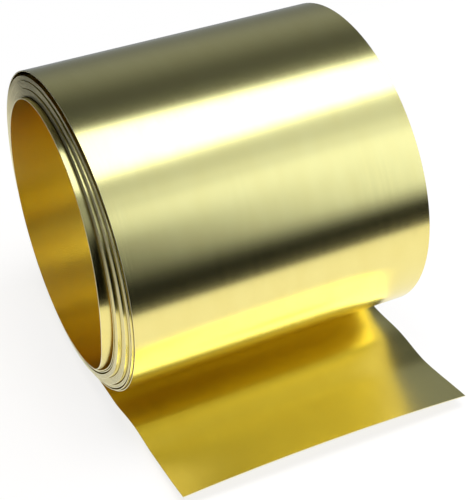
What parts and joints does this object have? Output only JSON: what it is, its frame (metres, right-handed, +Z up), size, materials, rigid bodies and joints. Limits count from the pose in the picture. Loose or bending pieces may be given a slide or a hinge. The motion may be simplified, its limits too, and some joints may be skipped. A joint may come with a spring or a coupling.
{
  "type": "roll of brass strip",
  "caption": "Open coil of thin rolled brass strip with a round bore, turns stepped on both ends, and the outer end run out flat as a short, gently lifted tail.",
  "frame": {"origin": "on the axis of the coil's bore, at the middle of the outermost turn's width", "axes": "+Y along the bore's axis, away from the end where the inner turns stand out; +X the way the tail runs out over the floor; +Z up, with the floor one outer radius below the origin"},
  "size_m": [0.1314, 0.1104, 0.1058],
  "materials": {
    "rolled_brass": "bright cold-rolled, satin along the strip"
  },
  "bodies": {
    "root": {"brass_strip": "rolled_brass"}
  },
  "joints": []
}
